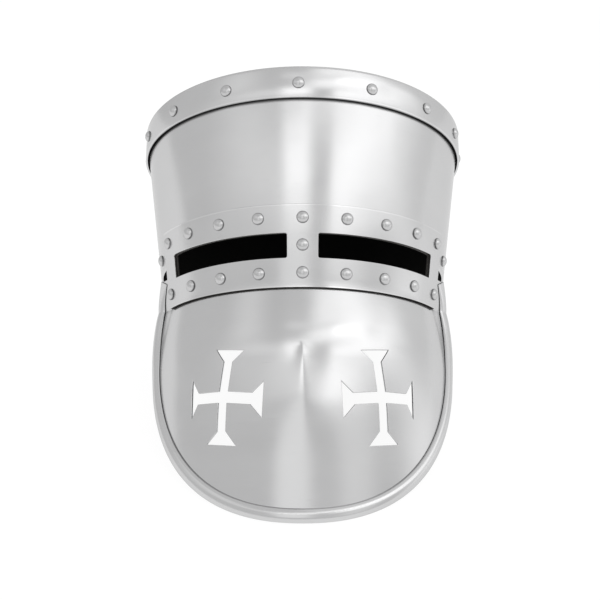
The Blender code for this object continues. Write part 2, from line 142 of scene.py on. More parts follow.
OVAL_SIDES = 192
DRUM_CUTS = 23
CROWN_INSETS = 4
CROWN_INSET = 0.02
CAP_BEND_SEGMENTS = 6
CHIN_STEPS = 72
SHOULDER_STEPS = 8
SLIT_CORNER_STEPS = 4
RIM_STEPS = 16
RIVET_SIDES = 28
RIVET_RINGS = 16
RIVET_TILT = 1.6  # the most that a rivet leans by hand, in degrees
EDGE_ROUND = 0.0003  # how far the cut edges of the plates are rounded off
SHARP_ANGLE = math.radians(50)
SMOOTH_ANGLE = math.radians(38)
MERGE = 1e-6
NEAR = 1e-5
ARC_SAMPLES = 1441
FRAME_STEP = 0.0005
SLOPE_STEP = 0.0004

# Grid lines of the sheets that are bent: a close pitch over the keel, and a wider one beside it
KEEL_ZONE = 0.03
KEEL_PITCH = 0.0011
MASK_PITCH = 0.0026
MASK_ROW_PITCH = 0.0024
UPPER_ROW_PITCH = 0.008
UPPER_ROWS = -0.02
MASK_GRID_END = 0.132
BAND_PITCH = 0.0022
BAND_ROW_PITCH = 0.005

cap_inner_half_width = CAP_HALF_WIDTH - CAP_WALL
cap_inner_half_depth = CAP_HALF_DEPTH - CAP_WALL
skull_top = CAP_TOP - CAP_WALL - SEAT
lip_start = skull_top - SKULL_LIP
lip_half_width = cap_inner_half_width - SEAT
lip_half_depth = cap_inner_half_depth - SEAT
face_inner = SEAT
face_outer = face_inner + FACE_WALL
band_inner = face_outer + SEAT
band_outer = band_inner + BAND_WALL
flange_edge = CAP_TOP - CAP_FLANGE


# ---- The helm's surface ----

def oval_point(half_width, half_depth, angle, height):
    """The point at this angle from the front, turning towards +X."""
    return Vector((half_width * math.sin(angle), -half_depth * math.cos(angle), height))


def arc_table(half_width, half_depth):
    """Angles from the front to the back of an oval, and the arc up to each."""
    angles = np.linspace(0, math.pi, ARC_SAMPLES)
    middles = (angles[1:] + angles[:-1]) / 2
    speed = np.hypot(half_width * np.cos(middles), half_depth * np.sin(middles))
    return angles, np.concatenate([[0], np.cumsum(speed * np.diff(angles))])


edge_angles, edge_arcs = arc_table(SKULL_HALF_WIDTH, SKULL_HALF_DEPTH)


def angle_at(arc):
    return math.copysign(np.interp(abs(arc), edge_arcs, edge_angles), arc)


def arc_at(angle):
    return math.copysign(np.interp(abs(angle), edge_angles, edge_arcs), angle)


def half_sizes(height):
    """Half width and half depth of the skull's outer surface, and of the face plate below it."""
    share = max(height, BAND_LOWER) / lip_start
    half_width = SKULL_HALF_WIDTH + (lip_half_width - SKULL_HALF_WIDTH) * share
    half_depth = SKULL_HALF_DEPTH + (lip_half_depth - SKULL_HALF_DEPTH) * share
    drop = min(max((BAND_LOWER - height) / (BAND_LOWER - FACE_CHIN), 0), 1)
    swell = 1 - (1 - drop) ** SWELL_CURVE
    below = min(max(BAND_LOWER - height, 0), FRONT_BREAK + BREAK_LENGTH)
    past = max(below - FRONT_BREAK, 0)
    return half_width + SIDE_SWELL * swell, half_depth + FRONT_SLOPE * (
        below - past * past / (2 * BREAK_LENGTH)
    )


def surface_point(arc, height):
    return oval_point(*half_sizes(height), angle_at(arc), height)


def surface_frame(arc, height, out=0.0):
    """A matrix with X along the arc, Z out of the surface, at a point that far out of it."""
    step = FRAME_STEP
    along = surface_point(arc + step, height) - surface_point(arc - step, height)
    up = surface_point(arc, height + step) - surface_point(arc, height - step)
    normal = along.cross(up).normalized()
    along.normalize()
    made = Matrix((along, normal.cross(along), normal)).transposed().to_4x4()
    made.translation = surface_point(arc, height) + normal * out
    return made


def keel_rise(arc, height):
    """How far the nasal keel lifts the face plate here."""
    below = KEEL_APEX - height
    if below <= 0:
        return 0.0
    left = 1 - min(max((below - KEEL_FULL) / KEEL_FADE, 0), 1)
    crest = KEEL_RISE * (1 - math.exp(-below / KEEL_GROWTH)) * left * left * (3 - 2 * left)
    across = math.hypot(arc / (KEEL_SPREAD * below), KEEL_ROUND) - KEEL_ROUND
    return crest * math.exp(-across)


def edge_flare(arc, height):
    """How far the face plate's side edges and its rim spread here."""
    share = min(max((abs(arc) - BAND_HALF_ARC) / EDGE_FLARE_WIDTH, 0), 1)
    return EDGE_FLARE * share * share * (3 - 2 * share)


def face_rise(arc, height):
    return keel_rise(arc, height) + edge_flare(arc, height)


# ---- Modelling ----

def shape_piece(piece):
    """Opens one piece for shaping, with nothing selected."""
    if bpy.context.mode != "OBJECT":
        bpy.ops.object.mode_set(mode="OBJECT")
    bpy.ops.object.select_all(action="DESELECT")
    bpy.context.view_layer.objects.active = piece
    piece.select_set(True)
    bpy.ops.object.mode_set(mode="EDIT")
    bpy.ops.mesh.select_mode(type="VERT")
    bpy.ops.mesh.select_all(action="DESELECT")


def select_where(piece, kind, test):
    """Selects the corners, edges or faces of the open piece that pass the test, and no others."""
    bpy.ops.mesh.select_mode(type={"verts": "VERT", "edges": "EDGE", "faces": "FACE"}[kind])
    bpy.ops.mesh.select_all(action="DESELECT")
    shape = bmesh.from_edit_mesh(piece.data)
    for element in getattr(shape, kind):
        if test(element):
            element.select_set(True)
    bmesh.update_edit_mesh(piece.data)


def close_piece():
    bpy.ops.object.mode_set(mode="OBJECT")


def start_piece(name):
    """Names the primitive just added."""
    piece = bpy.context.active_object
    piece.name = piece.data.name = name
    return piece


def apply_modifier(piece, kind, **settings):
    modifier = piece.modifiers.new(kind.title(), kind)
    for setting, value in settings.items():
        setattr(modifier, setting, value)
    bpy.ops.object.select_all(action="DESELECT")
    bpy.context.view_layer.objects.active = piece
    piece.select_set(True)
    bpy.ops.object.modifier_apply(modifier=modifier.name)


def round_edges(piece):
    apply_modifier(
        piece, "BEVEL", width=EDGE_ROUND, segments=2, limit_method="ANGLE",
        angle_limit=SHARP_ANGLE, use_clamp_overlap=False,
    )


def flat_prism(name, outlines, low, high):
    """A sheet cut to flat outlines, from one level to the other. Inner outlines are openings."""
    curve = bpy.data.curves.new(name, "CURVE")
    curve.dimensions = "2D"
    curve.fill_mode = "BOTH"
    curve.extrude = (high - low) / 2
    for outline in outlines:
        spline = curve.splines.new("POLY")
        spline.points.add(len(outline) - 1)
        for point, (x, y) in zip(spline.points, outline):
            point.co = (x, y, 0, 1)
        spline.use_cyclic_u = True
    drawn = bpy.data.objects.new(name, curve)
    bpy.context.scene.collection.objects.link(drawn)
    drawn.location.z = (high + low) / 2
    bpy.ops.object.select_all(action="DESELECT")
    bpy.context.view_layer.objects.active = drawn
    drawn.select_set(True)
    bpy.ops.object.convert(target="MESH")
    piece = bpy.context.active_object
    bpy.ops.object.transform_apply()
    shape_piece(piece)
    bpy.ops.mesh.select_all(action="SELECT")
    bpy.ops.mesh.remove_doubles(threshold=MERGE)
    bpy.ops.mesh.normals_make_consistent(inside=False)
    bpy.ops.mesh.dissolve_limited(angle_limit=math.radians(0.5))
    close_piece()
    return piece


def score_lines(piece, arcs, heights):
    """Cuts grid lines into a flat sheet, so that it can be bent."""
    shape = bmesh.new()
    shape.from_mesh(piece.data)
    for places, axis in ((arcs, Vector((1, 0, 0))), (heights, Vector((0, 1, 0)))):
        for place in places:
            everything = shape.verts[:] + shape.edges[:] + shape.faces[:]
            bmesh.ops.bisect_plane(
                shape, geom=everything, dist=MERGE, plane_co=axis * place, plane_no=axis
            )
    shape.to_mesh(piece.data)
    shape.free()


def bend(piece, rise=None):
    """Bends a flat sheet onto the oval, and turns its shading with it."""
    mesh = piece.data
    mesh.shade_smooth()
    mesh.set_sharp_from_angle(angle=SHARP_ANGLE)
    flat = [Vector(corner.vector) for corner in mesh.corner_normals]
    level_corners = {
        side: {corner for face in mesh.polygons if face.normal.z * side > 0.999
               for corner in face.vertices}
        for side in (-1, 1)
    }
    for face in mesh.polygons:
        side = 1 if face.normal.z > 0 else -1
        for loop in face.loop_indices:
            if abs(face.normal.z) > 0.1 and mesh.loops[loop].vertex_index in level_corners[side]:
                flat[loop] = Vector((0, 0, side))
    blank_map = mesh.uv_layers.new(name="blank")
    for loop in mesh.loops:
        place = mesh.vertices[loop.vertex_index].co
        blank_map.data[loop.index].uv = (place.x, place.y)
    frames = []
    for corner in mesh.vertices:
        arc, height, out = corner.co
        made = surface_frame(arc, height)
        step = SLOPE_STEP
        level = rise(arc, height) if rise else 0.0
        if rise:
            slope_x = (rise(arc + step, height) - rise(arc - step, height)) / (2 * step)
            slope_y = (rise(arc, height + step) - rise(arc, height - step)) / (2 * step)
            along = Vector((1, 0, slope_x)).normalized()
            up = Vector((0, 1, slope_y)).normalized()
            tilt = Matrix((along, up, along.cross(up).normalized())).transposed()
            frames.append(made.to_3x3() @ tilt)
        else:
            frames.append(made.to_3x3())
        corner.co = made @ Vector((0, 0, out + level))
    bent = [
        (frames[loop.vertex_index] @ flat[loop.index]).normalized() for loop in mesh.loops
    ]
    mesh.normals_split_custom_set(bent)
    mesh.update()


def oval_map(piece):
    """Marks each corner of a drum with its arc and height, as on a flat blank.

    The flat crown is marked across and along instead, well clear of the heights of the sides.
    """
    mesh = piece.data
    blank_map = mesh.uv_layers.new(name="blank")
    for face in mesh.polygons:
        if abs(face.normal.z) > 0.9 and face.center.z > lip_start:
            for loop in face.loop_indices:
                place = mesh.vertices[mesh.loops[loop].vertex_index].co
                blank_map.data[loop].uv = (place.y, 1 + place.x)
            continue
        arcs = []
        for index in face.vertices:
            place = mesh.vertices[index].co
            half_width, half_depth = half_sizes(place.z)
            angle = math.atan2(place.x / half_width, -place.y / half_depth)
            arcs.append(arc_at(angle))
        if max(arcs) - min(arcs) > 0.2:
            arcs = [arc + 2 * edge_arcs[-1] if arc < 0 else arc for arc in arcs]
        for loop, arc in zip(face.loop_indices, arcs):
            place = mesh.vertices[mesh.loops[loop].vertex_index].co
            blank_map.data[loop].uv = (arc, place.z)


# ---- Finishes ----

class Socket:
    """A number in a material, which takes part in sums."""

    def __init__(self, finish, link):
        self.finish = finish
        self.link = link

    def sum_with(self, operation, first, second=None):
        inputs = {0: first} if second is None else {0: first, 1: second}
        return self.finish.node("ShaderNodeMath", {"operation": operation}, inputs)

    def __add__(self, other):
        return self.sum_with("ADD", self, other)

    def __radd__(self, other):
        return self.sum_with("ADD", other, self)

    def __sub__(self, other):
        return self.sum_with("SUBTRACT", self, other)

    def __rsub__(self, other):
        return self.sum_with("SUBTRACT", other, self)

    def __mul__(self, other):
        return self.sum_with("MULTIPLY", self, other)

    def __rmul__(self, other):
        return self.sum_with("MULTIPLY", other, self)


class Finish:
    """A material or a world that is put together from nodes."""

    def __init__(self, owner):
        self.owner = owner
        owner.use_nodes = True
        self.tree = owner.node_tree

    def node(self, kind, settings=None, inputs=None, output=0):
        """Adds a node with these settings and inputs, and gives one of its outputs."""
        made = self.tree.nodes.new(kind)
        for setting, value in (settings or {}).items():
            if setting == "stops":
                ramp = made.color_ramp.elements
                while len(ramp) < len(value):
                    ramp.new(1.0)
                for stop, (place, shade) in zip(ramp, value):
                    stop.position = place
                    stop.color = shade
            else:
                setattr(made, setting, value)
        for name, value in (inputs or {}).items():
            self.join(made.inputs[name], value)
        return Socket(self, made.outputs[output])

    def join(self, socket, value):
        if isinstance(value, Socket):
            self.tree.links.new(value.link, socket)
        else:
            socket.default_value = value

    def feed(self, kind, **inputs):
        """Sets or links the sockets of the shader that is already there."""
        shader = next(node for node in self.tree.nodes if node.type == kind)
        for name, value in inputs.items():
            self.join(shader.inputs[name.replace("_", " ")], value)

    def noise(self, place, scale, detail=2.0, rough=0.5):
        return self.node(
            "ShaderNodeTexNoise", {"noise_dimensions": "3D"},
            {"Vector": place, "Scale": scale, "Detail": detail, "Roughness": rough},
        )

    def stretched(self, place, scale):
        return self.node("ShaderNodeMapping", {}, {"Vector": place, "Scale": scale})

    def ease(self, value, low, high, floor=0.0, top=1.0):
        """Takes value smoothly from floor, at low, to top, at high."""
        return self.node(
            "ShaderNodeMapRange", {"interpolation_type": "SMOOTHSTEP"},
            {"Value": value, "From Min": low, "From Max": high, "To Min": floor, "To Max": top},
        )

    def mix(self, share, first, second):
        return self.node(
            "ShaderNodeMix", {"data_type": "RGBA"}, {0: share, 6: first, 7: second}, output=2
        )


# Cells per metre of the patterns, across a sheet, up it and through it
GRAIN_SCALE = (90, 2600, 90)
SMEAR_SCALE = (14, 60, 14)
SCRATCH_SCALE = (160, 900, 160)
CLOUD_SCALE = 22
WAVE_SCALE = 30
FINE_SCALE = 420
# Heights of the relief, in metres
WAVE_RELIEF = 0.00022
GRAIN_RELIEF = 0.0000025
FINE_RELIEF = 0.0000012
SEAM_RAGGED = 0.0016
SEAM_END = 0.0015


def polished_steel(name, tone, gloss, grain_along, foot_shaded=False, shade_seams=(), rubbed=()):
    """Satin-polished plate: fine grain along the sheet, soft clouds and faint hammer waves.

    The seam lists give heights beside overlapping plate edges where shade is painted as a dark
    line, and rubbed ones where an edge is worn bright.
    Each gives the height where it starts, the height where it is full, and the arc it ends at.
    """
    finish = Finish(bpy.data.materials.new(name))
    place = finish.node("ShaderNodeTexCoord", {}, {}, output="Object")
    if grain_along:
        sheet = finish.node("ShaderNodeUVMap", {"uv_map": "blank"})
    else:
        sheet = place
    grain = finish.noise(finish.stretched(sheet, GRAIN_SCALE), 1.0, 3.0, 0.6)
    clouds = finish.noise(place, CLOUD_SCALE, 3.0, 0.55)
    smears = finish.noise(finish.stretched(sheet, SMEAR_SCALE), 1.0, 2.0)
    waves = finish.noise(place, WAVE_SCALE, 1.0, 0.3)
    fine = finish.noise(place, FINE_SCALE, 2.0)
    tone_here = tone + (clouds - 0.5) * 0.055 + (grain - 0.5) * 0.035 + (smears - 0.5) * 0.03
    scratches = finish.noise(finish.stretched(sheet, SCRATCH_SCALE), 1.0, 1.0, 0.3)
    scratches = finish.ease(scratches, 0.66, 0.74)
    tone_here = tone_here - scratches * 0.015
    wear = scratches * 0.012
    if shade_seams or rubbed:
        arc, height = (
            finish.node("ShaderNodeSeparateXYZ", {}, {0: sheet}, output=axis) for axis in (0, 1)
        )
        arc = arc.sum_with("ABSOLUTE", arc)
        height = height + (clouds - 0.5) * SEAM_RAGGED
        # Painted shade: the plate darkened in a line beside each overlapping edge.
        for start, full, end in shade_seams:
            painted_shade = finish.ease(height, start, full) * finish.ease(arc, end + SEAM_END, end)
            tone_here = tone_here * (1 - painted_shade * 0.75)
            wear = wear + painted_shade * 0.2
        for start, full, end in rubbed:
            bright = finish.ease(height, start, full) * finish.ease(arc, end + SEAM_END, end)
            tone_here = tone_here + bright * 0.07
            wear = wear - bright * 0.05
    # Painted contact shadow: the rivet's colour darkened towards the foot of its head.
    if foot_shaded:
        crevice = finish.node(
            "ShaderNodeAttribute", {"attribute_name": "crevice"}, {}, output="Fac"
        )
        tone_here = tone_here * (1 - crevice * 0.8)
    colour = finish.node("ShaderNodeCombineColor", {}, {
        "Red": tone_here, "Green": tone_here, "Blue": tone_here * 1.006,
    })
    roughness = gloss + (smears - 0.5) * 0.06 + (grain - 0.5) * 0.05 + wear
    relief = waves * WAVE_RELIEF + grain * GRAIN_RELIEF + fine * FINE_RELIEF
    bump = finish.node("ShaderNodeBump", {}, {
        "Strength": 1.0, "Distance": 1.0, "Height": relief,
    })
    finish.feed(
        "BSDF_PRINCIPLED", Metallic=1.0, Base_Color=colour, Roughness=roughness, Normal=bump,
        Specular_Tint=(0.8, 0.8, 0.8, 1),
    )
    return finish.owner


def shade_black_steel(name, dark):
    """The insides and the cut edges: a dull blackened finish, dark enough that it paints the
    shade inside the helm and on the edges of the plates.
    """
    finish = Finish(bpy.data.materials.new(name))
    place = finish.node("ShaderNodeTexCoord", {}, {}, output="Object")
    scale = finish.noise(place, 55, 4.0, 0.6)
    pits = finish.noise(place, 380, 2.0)
    shade = dark + scale * dark
    colour = finish.node("ShaderNodeCombineColor", {}, {
        "Red": shade * 1.08, "Green": shade, "Blue": shade * 0.94,
    })
    bump = finish.node("ShaderNodeBump", {}, {
        "Strength": 1.0, "Distance": 1.0, "Height": scale * 0.00006 + pits * 0.00001,
    })
    finish.feed(
        "BSDF_PRINCIPLED", Metallic=0.0, Base_Color=colour, Roughness=0.62 + scale * 0.2,
        Normal=bump, Specular_IOR_Level=0.12,
    )
    return finish.owner


ALL_ROUND = 1.0
PLATE_TONE = 0.60
PLATE_GLOSS = 0.20
# Painted shade in lines on the skull, under the cap's flange and just above the eye band.
skull_steel = polished_steel("skull_steel", PLATE_TONE, PLATE_GLOSS, True, shade_seams=(
    (flange_edge - 0.0022, flange_edge - 0.0002, ALL_ROUND),
    (BAND_UPPER + 0.0010, BAND_UPPER + 0.0001, BAND_HALF_ARC),
), rubbed=((0.0016, 0.0004, ALL_ROUND),))
crown_steel = polished_steel("crown_steel", PLATE_TONE, PLATE_GLOSS, True, rubbed=(
    (flange_edge + 0.0015, flange_edge + 0.0005, ALL_ROUND),
))
# Painted shade in a line on the face plate, just under the eye band's lower edge.
face_steel = polished_steel("face_steel", PLATE_TONE, PLATE_GLOSS, True, shade_seams=(
    (BAND_LOWER - 0.0018, BAND_LOWER - 0.0002, BAND_HALF_ARC),
))
band_steel = polished_steel("band_steel", PLATE_TONE, PLATE_GLOSS, True, rubbed=(
    (BAND_UPPER - 0.0012, BAND_UPPER - 0.0004, ALL_ROUND),
    (BAND_LOWER + 0.0014, BAND_LOWER + 0.0005, ALL_ROUND),
))
rim_steel = polished_steel("rim_steel", PLATE_TONE, PLATE_GLOSS, True)
# Rivets carry a painted contact shadow round the foot of the head.
rivet_steel = polished_steel("rivet_steel", 0.56, 0.24, False, True)
# Near black: painted shade for the inside of the helm, seen through the slits.
inside_shade_steel = shade_black_steel("inside_shade_black", 0.003)
# Dark grey: painted shade on the slit walls and under the eye band's lower edge.
cut_edge = shade_black_steel("cut_edge_shade", 0.03)


laid_normals = {}  # each bent piece's corner normals, before the helm is laid back


def give(piece, *finishes):
    """Adds these finishes, before any step that gives faces their second or third."""
    for finish in finishes:
        piece.data.materials.append(finish)


def complete(piece, nodes, smooth=True):
    """Lays the piece into the resting helm and hands it over in place of its nodes."""
    if smooth:
        bpy.ops.object.select_all(action="DESELECT")
        bpy.context.view_layer.objects.active = piece
        piece.select_set(True)
        bpy.ops.object.shade_smooth_by_angle(angle=SMOOTH_ANGLE)
    piece.data.transform(helm_place)
    if piece.data.has_custom_normals:
        turn = helm_place.to_3x3()
        piece.data.normals_split_custom_set(
            [turn @ Vector(normal) for normal in laid_normals[piece.name]]
        )
    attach(piece, "root")
    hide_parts(*nodes)


# ---- Skull and crown ----

def make_skull():
    bpy.ops.object.select_all(action="DESELECT")
    bpy.ops.mesh.primitive_cylinder_add(
        vertices=OVAL_SIDES, radius=1, depth=lip_start, end_fill_type="NOTHING",
        location=(0, 0, lip_start / 2),
    )
    skull = start_piece("skull_drum")
    bpy.ops.object.transform_apply()
    shape_piece(skull)
    select_where(skull, "verts", lambda corner: corner.co.z < 0.001)
    bpy.ops.transform.resize(value=(SKULL_HALF_WIDTH, SKULL_HALF_DEPTH, 1))
    select_where(skull, "verts", lambda corner: corner.co.z > 0.001)
    bpy.ops.transform.resize(value=(lip_half_width, lip_half_depth, 1))
    select_where(
        skull, "edges", lambda edge: abs(edge.verts[0].co.z - edge.verts[1].co.z) > 0.001
    )
    bpy.ops.mesh.subdivide(number_cuts=DRUM_CUTS)
    select_where(
        skull, "edges", lambda edge: all(end.co.z > lip_start - NEAR for end in edge.verts)
    )
    bpy.ops.mesh.extrude_region_move(TRANSFORM_OT_translate={"value": (0, 0, SKULL_LIP)})
    bpy.ops.mesh.select_all(action="SELECT")
    bpy.ops.mesh.bisect(plane_co=(0, 0, BROW_EDGE), plane_no=(0, 0, 1))
    bpy.ops.mesh.select_all(action="SELECT")
    bpy.ops.mesh.bisect(plane_co=(0, -BROW_CUT_DEPTH, 0), plane_no=(0, 1, 0))
    select_where(skull, "faces", lambda face: (
        face.calc_center_median().z < BROW_EDGE
        and face.calc_center_median().y < -BROW_CUT_DEPTH
    ))
    bpy.ops.mesh.delete(type="FACE")
    bpy.ops.mesh.select_all(action="SELECT")
    bpy.ops.mesh.normals_make_consistent(inside=False)
    close_piece()
    give(skull, skull_steel, inside_shade_steel)
    apply_modifier(
        skull, "SOLIDIFY", thickness=SKULL_WALL, offset=-1, use_even_offset=True,
        material_offset=1,
    )
    round_edges(skull)
    oval_map(skull)
    complete(skull, ["skull"])


def make_crown_cap():
    bpy.ops.object.select_all(action="DESELECT")
    bpy.ops.mesh.primitive_cylinder_add(
        vertices=OVAL_SIDES, radius=1, depth=CAP_FLANGE, end_fill_type="NGON",
        location=(0, 0, CAP_TOP - CAP_FLANGE / 2),
    )
    cap = start_piece("flanged_cap")
    bpy.ops.object.transform_apply()
    shape_piece(cap)
    select_where(cap, "faces", lambda face: face.normal.z < -0.5)
    bpy.ops.mesh.delete(type="FACE")
    bpy.ops.mesh.select_all(action="SELECT")
    bpy.ops.transform.resize(value=(CAP_HALF_WIDTH, CAP_HALF_DEPTH, 1))
    select_where(
        cap, "edges", lambda edge: all(end.co.z > CAP_TOP - NEAR for end in edge.verts)
    )
    bpy.ops.mesh.bevel(offset=CAP_BEND, segments=CAP_BEND_SEGMENTS, affect="EDGES")
    select_where(cap, "faces", lambda face: face.normal.z > 0.999)
    for _ in range(CROWN_INSETS):
        bpy.ops.mesh.inset(thickness=CROWN_INSET)
    close_piece()
    give(cap, crown_steel, inside_shade_steel)
    apply_modifier(
        cap, "SOLIDIFY", thickness=CAP_WALL, offset=-1, use_even_offset=True, material_offset=1
    )
    round_edges(cap)
    oval_map(cap)
    complete(cap, ["crown_cap"])


# ---- Ocular band, face plate and rim ----

def rounded_slit(side):
    """One eye slit on the blank, with rounded corners."""
    low, high = sorted((side * SLIT_INNER_ARC, side * SLIT_OUTER_ARC))
    centres = (
        (high - SLIT_CORNER, SLIT_UPPER - SLIT_CORNER, 0),
        (low + SLIT_CORNER, SLIT_UPPER - SLIT_CORNER, 90),
        (low + SLIT_CORNER, SLIT_LOWER + SLIT_CORNER, 180),
        (high - SLIT_CORNER, SLIT_LOWER + SLIT_CORNER, 270),
    )
    points = []
    for x, y, start in centres:
        for step in range(SLIT_CORNER_STEPS + 1):
            turn = math.radians(start + 90 * step / SLIT_CORNER_STEPS)
            points.append((x + SLIT_CORNER * math.cos(turn), y + SLIT_CORNER * math.sin(turn)))
    return points


def cross_outline(side):
    """One cross on the blank: four straight arms that splay at their ends."""
    rays = [Vector((math.cos(math.radians(row[0])), math.sin(math.radians(row[0]))))
            for row in CROSS_ARMS]
    lefts = [Vector((-ray.y, ray.x)) for ray in rays]
    points = []
    for index, (_, reach, bar, end_width, end_depth, end_turn) in enumerate(CROSS_ARMS):
        ray, left = rays[index], lefts[index]
        near = -left * bar / 2
        far = lefts[index - 1] * CROSS_ARMS[index - 1][2] / 2
        last = rays[index - 1]
        points.append(intersect_line_line_2d(near - ray, near + ray, far - last, far + last))
        along_end = left.copy()
        along_end.rotate(Matrix.Rotation(math.radians(end_turn), 2))
        neck, end = ray * (reach - end_depth), ray * reach
        points += [neck + near, end - along_end * end_width / 2]
        points += [end + along_end * end_width / 2, neck - near]
    points = [point * CROSS_REACH for point in points]
    return [(side * (CROSS_ARC + point.x), CROSS_HEIGHT + point.y) for point in points]


def face_side():
    """The bound part of the face plate's right edge, from its shoulder to the chin."""
    points = []
    for step in range(SHOULDER_STEPS):
        share = step / SHOULDER_STEPS
        arc = FACE_SHOULDER_ARC
        arc += (FACE_HALF_ARC - FACE_SHOULDER_ARC) * math.sin(share * math.pi / 2)
        points.append((arc, FACE_SHOULDER + (FACE_WIDEST - FACE_SHOULDER) * share))
    for step in range(CHIN_STEPS + 1):
        turn = math.pi / 2 * step / CHIN_STEPS
        arc = FACE_HALF_ARC * max(math.cos(turn), 0) ** (2 / FACE_SIDE_POWER)
        drop = (FACE_WIDEST - FACE_CHIN) * math.sin(turn) ** (2 / FACE_CHIN_POWER)
        points.append((arc, FACE_WIDEST - drop))
    return points


def face_edge():
    right = face_side()
    return right + [(-arc, height) for arc, height in reversed(right[:-1])]


def spread(low, high, pitch):
    count = max(2, round((high - low) / pitch))
    return list(np.linspace(low, high, count + 1)[1:-1])


def make_face_plate():
    outline = [(BAND_HALF_ARC, FACE_UPPER), (BAND_HALF_ARC, FACE_SHOULDER)] + face_edge()
    outline += [(-BAND_HALF_ARC, FACE_SHOULDER), (-BAND_HALF_ARC, FACE_UPPER)]
    openings = [rounded_slit(-1), rounded_slit(1), cross_outline(-1), cross_outline(1)]
    plate = flat_prism("face_guard", [outline] + openings, face_inner, face_outer)
    round_edges(plate)
    arcs = spread(-MASK_GRID_END, -KEEL_ZONE, MASK_PITCH)
    arcs += spread(-KEEL_ZONE, KEEL_ZONE, KEEL_PITCH)
    arcs += spread(KEEL_ZONE, MASK_GRID_END, MASK_PITCH)
    arcs += [-KEEL_ZONE, KEEL_ZONE]
    heights = spread(FACE_CHIN, UPPER_ROWS, MASK_ROW_PITCH)
    heights += spread(UPPER_ROWS, FACE_UPPER, UPPER_ROW_PITCH)
    score_lines(plate, arcs, heights)
    give(plate, face_steel, inside_shade_steel, cut_edge)
    mark_inside(plate, face_inner, 0.9)
    bend(plate, face_rise)
    keep_normals(plate)
    complete(plate, ["face_plate"], smooth=False)


def make_ocular_band():
    corner = SLIT_CORNER
    outline = [
        (BAND_HALF_ARC, BAND_LOWER + corner), (BAND_HALF_ARC, BAND_UPPER - corner),
        (BAND_HALF_ARC - corner, BAND_UPPER), (-BAND_HALF_ARC + corner, BAND_UPPER),
        (-BAND_HALF_ARC, BAND_UPPER - corner), (-BAND_HALF_ARC, BAND_LOWER + corner),
        (-BAND_HALF_ARC + corner, BAND_LOWER), (BAND_HALF_ARC - corner, BAND_LOWER),
    ]
    band = flat_prism(
        "eye_band", [outline, rounded_slit(-1), rounded_slit(1)], band_inner, band_outer
    )
    round_edges(band)
    score_lines(band, spread(-BAND_HALF_ARC, BAND_HALF_ARC, BAND_PITCH),
                spread(BAND_LOWER, BAND_UPPER, BAND_ROW_PITCH))
    give(band, band_steel, inside_shade_steel, cut_edge)
    mark_inside(band, band_inner, 0.3)
    bend(band)
    keep_normals(band)
    complete(band, ["ocular_band"], smooth=False)


def mark_inside(piece, level, wall_depth):
    """Gives a flat sheet's inner face its second finish, and its slit walls a third; on the band
    its lower edge face takes the third too. Both are near black, as painted shade.
    """
    for face in piece.data.polygons:
        arc, height, out = face.center
        if face.normal.z < -0.9 and out < level + 1e-4:
            face.material_index = 1
        elif face.normal.z < wall_depth and abs(arc) < SLIT_OUTER_ARC + 0.001 and (
            SLIT_LOWER - 0.001 < height < SLIT_UPPER + 0.001
        ):
            face.material_index = 2
        # Painted shade: the underside of the band's lower edge made dark.
        elif face.normal.y < -0.5 and abs(height - BAND_LOWER) < 0.0005 and level == band_inner:
            face.material_index = 2


def keep_normals(piece):
    laid_normals[piece.name] = [Vector(corner.vector) for corner in piece.data.corner_normals]


def rim_section():
    """The rim's section: X inwards from the face plate's edge, Y out of the skull's surface."""
    low, high = face_inner - SEAT, face_outer + SEAT
    middle, half = RIM_WIDTH / 2 - RIM_NOSE, RIM_WIDTH / 2
    points = []
    for step in range(RIM_STEPS + 1):
        turn = math.pi * step / RIM_STEPS
        points.append((middle + half * math.cos(turn), high + RIM_PROUD * math.sin(turn)))
    inside = middle + half - RIM_LIP
    points += [
        (-RIM_NOSE, low), (-SEAT, low - RIM_LIP), (inside, low - RIM_LIP), (inside, low),
        (-SEAT, low), (-SEAT, high),
    ]
    return points


def make_face_rim():
    section = bpy.data.curves.new("rim_section", "CURVE")
    section.dimensions = "2D"
    drawn = section.splines.new("POLY")
    points = rim_section()
    drawn.points.add(len(points) - 1)
    for point, (x, y) in zip(drawn.points, points):
        point.co = (x, y, 0, 1)
    drawn.use_cyclic_u = True
    profile = bpy.data.objects.new("rim_section", section)
    bpy.context.scene.collection.objects.link(profile)
    path = bpy.data.curves.new("rolled_rim", "CURVE")
    path.dimensions = "2D"
    route = path.splines.new("POLY")
    edge = face_edge()
    route.points.add(len(edge) - 1)
    for point, (x, y) in zip(route.points, edge):
        point.co = (x, y, 0, 1)
    path.bevel_mode = "OBJECT"
    path.bevel_object = profile
    path.use_fill_caps = True
    swept = bpy.data.objects.new("rolled_rim", path)
    bpy.context.scene.collection.objects.link(swept)
    bpy.ops.object.select_all(action="DESELECT")
    bpy.context.view_layer.objects.active = swept
    swept.select_set(True)
    bpy.ops.object.convert(target="MESH")
    rim = bpy.context.active_object
    bpy.data.objects.remove(profile)
    shape_piece(rim)
    bpy.ops.mesh.select_all(action="SELECT")
    bpy.ops.mesh.remove_doubles(threshold=MERGE)
    bpy.ops.mesh.normals_make_consistent(inside=False)
    close_piece()
    for corner in rim.data.vertices:
        if corner.co.z > face_outer + SEAT:
            share = min(max((FACE_SHOULDER - corner.co.y) / RIM_TAPER, 0), 1)
            share = RIM_END + (1 - RIM_END) * share * share * (3 - 2 * share)
            corner.co.z = face_outer + SEAT + (corner.co.z - face_outer - SEAT) * share
    bend(rim, edge_flare)
    keep_normals(rim)
    give(rim, rim_steel)
    complete(rim, ["face_rim"], smooth=False)


# ---- Rivets ----

